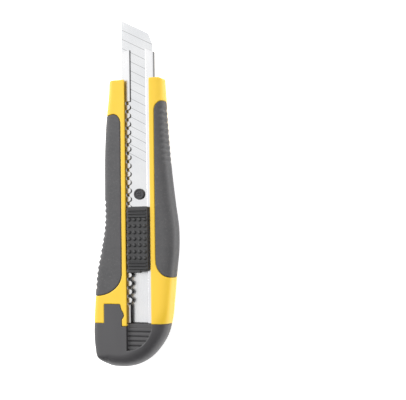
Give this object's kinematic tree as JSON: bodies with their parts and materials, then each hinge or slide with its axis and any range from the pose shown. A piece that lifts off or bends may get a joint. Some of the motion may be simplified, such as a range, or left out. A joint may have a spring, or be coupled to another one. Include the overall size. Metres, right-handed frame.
{
  "type": "snap-off knife",
  "caption": "Snap-off utility knife with a toothed steel blade channel, thumb slider, soft side grips and a pull-off end cap.",
  "frame": {"origin": "on the flat back of the handle, on the centreline of the blade channel, midway along the handle frame", "axes": "+Y along the blade towards its tip, +Z out of the face that carries the thumb slider, +X to the right seen from that face, away from the cutting edge"},
  "size_m": [0.0467, 0.1868, 0.0198],
  "materials": {
    "handle_plastic": "satin moulded ABS",
    "grip_rubber_left": "matte soft-touch",
    "grip_rubber_right": "matte soft-touch",
    "channel_steel": "rolled bright steel",
    "blade_steel": "ground and scored",
    "carrier_plastic": "moulded",
    "stud_plastic": "moulded",
    "slider_plastic": "fine moulded grain",
    "spring_steel": "spring temper",
    "rivet_steel": "headed",
    "cap_plastic": "fine moulded grain"
  },
  "bodies": {
    "handle": {"handle_frame": "handle_plastic", "grip_left": "grip_rubber_left", "grip_right": "grip_rubber_right", "blade_channel": "channel_steel"},
    "carriage": {"blade": "blade_steel", "blade_carrier": "carrier_plastic", "blade_stud": "stud_plastic", "lock_spring": "spring_steel", "spring_rivets": "rivet_steel"},
    "slider": {"thumb_slider": "slider_plastic"},
    "cap": {"end_cap": "cap_plastic", "cap_latch": "cap_plastic"}
  },
  "joints": [
    {"name": "blade_slide", "type": "slide", "parent": "handle", "child": "carriage", "axis": [0, 1, 0], "range_m": [-0.0225, 0.063], "deforming": ["lock_spring"]},
    {"name": "slider_release", "type": "slide", "parent": "carriage", "child": "slider", "axis": [0, 1, 0], "range_m": [-0.001, 0.001], "stiffness_N_per_m": 500},
    {"name": "cap_pull", "type": "slide", "parent": "handle", "child": "cap", "axis": [0, -1, 0], "range_m": [0, 0.04], "deforming": ["cap_latch"]}
  ]
}
